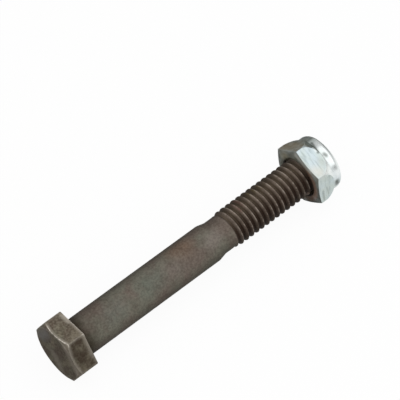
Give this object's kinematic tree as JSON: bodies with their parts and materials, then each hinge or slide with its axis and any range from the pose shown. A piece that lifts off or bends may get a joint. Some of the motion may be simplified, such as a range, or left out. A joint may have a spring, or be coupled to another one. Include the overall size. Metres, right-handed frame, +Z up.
{
  "type": "hex bolt with lock nut",
  "caption": "Dark steel hex bolt with a plain shank, a reduced neck and a coarse thread, and a bright zinc-plated lock nut with a nylon locking ring.",
  "frame": {"origin": "centre of the face under the head, where the shank leaves it", "axes": "+X along the bolt's axis from the head to the tip, +Z up with a flat of the head lying down, +Y across"},
  "size_m": [0.0803, 0.0166, 0.0164],
  "materials": {
    "blackened_steel": "heat-darkened and lightly oiled steel, brown-grey with mottled patches and bright worn edges",
    "zinc_plate": "bright zinc plate with a faint blue and green tint",
    "nylon": "natural nylon, olive-beige and slightly waxy"
  },
  "bodies": {
    "bolt": {"bolt": "blackened_steel"},
    "locking_ring": {"locking_ring": "nylon"},
    "nut": {"nut": "zinc_plate"}
  },
  "joints": [
    {"name": "nut_travel", "type": "slide", "parent": "bolt", "child": "locking_ring", "axis": [1, 0, 0], "range_m": [-0.02025, 0.00318]},
    {"name": "nut_turn", "type": "hinge", "parent": "locking_ring", "child": "nut", "pos_m": [0.0675, 0, 0], "axis": [1, 0, 0], "range_deg": [-4590, 720]}
  ],
  "couplings": [
    {"joint": "nut_travel", "follows": "nut_turn", "m_per_rad": 0.00025266}
  ]
}
